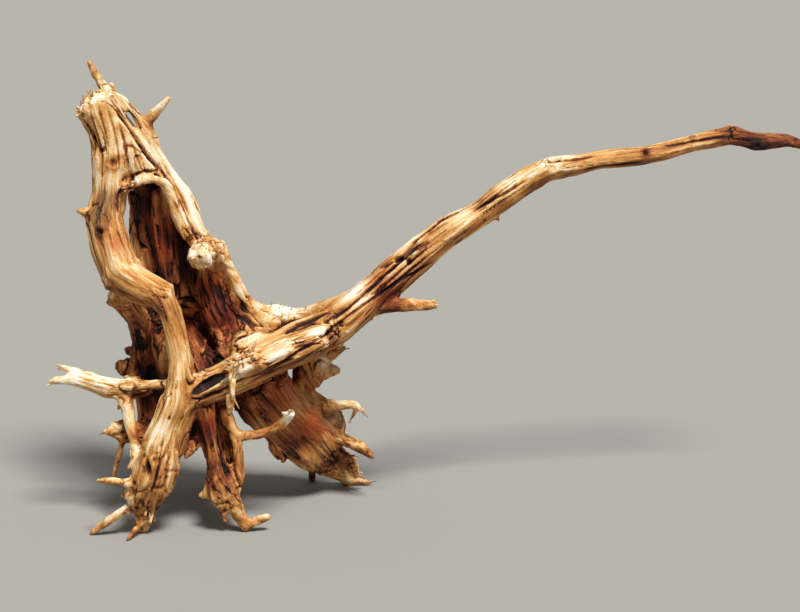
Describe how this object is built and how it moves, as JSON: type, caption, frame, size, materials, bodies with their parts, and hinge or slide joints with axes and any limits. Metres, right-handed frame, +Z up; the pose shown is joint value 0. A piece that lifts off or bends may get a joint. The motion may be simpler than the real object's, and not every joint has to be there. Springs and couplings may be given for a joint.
{
  "type": "driftwood",
  "caption": "Weathered driftwood root with a hollow leaning trunk, spreading roots to stand on and one long bare branch reaching sideways.",
  "frame": {"origin": "middle of the bounding box at ground level, where the feet of the roots stand", "axes": "+X towards the tip of the long branch, +Y to the rear, +Z up"},
  "size_m": [0.612, 0.1494, 0.3699],
  "materials": {
    "wood": "bare weathered wood, matt, with bleached ridges and dark cracks"
  },
  "bodies": {
    "root": {"driftwood": "wood"}
  },
  "joints": []
}
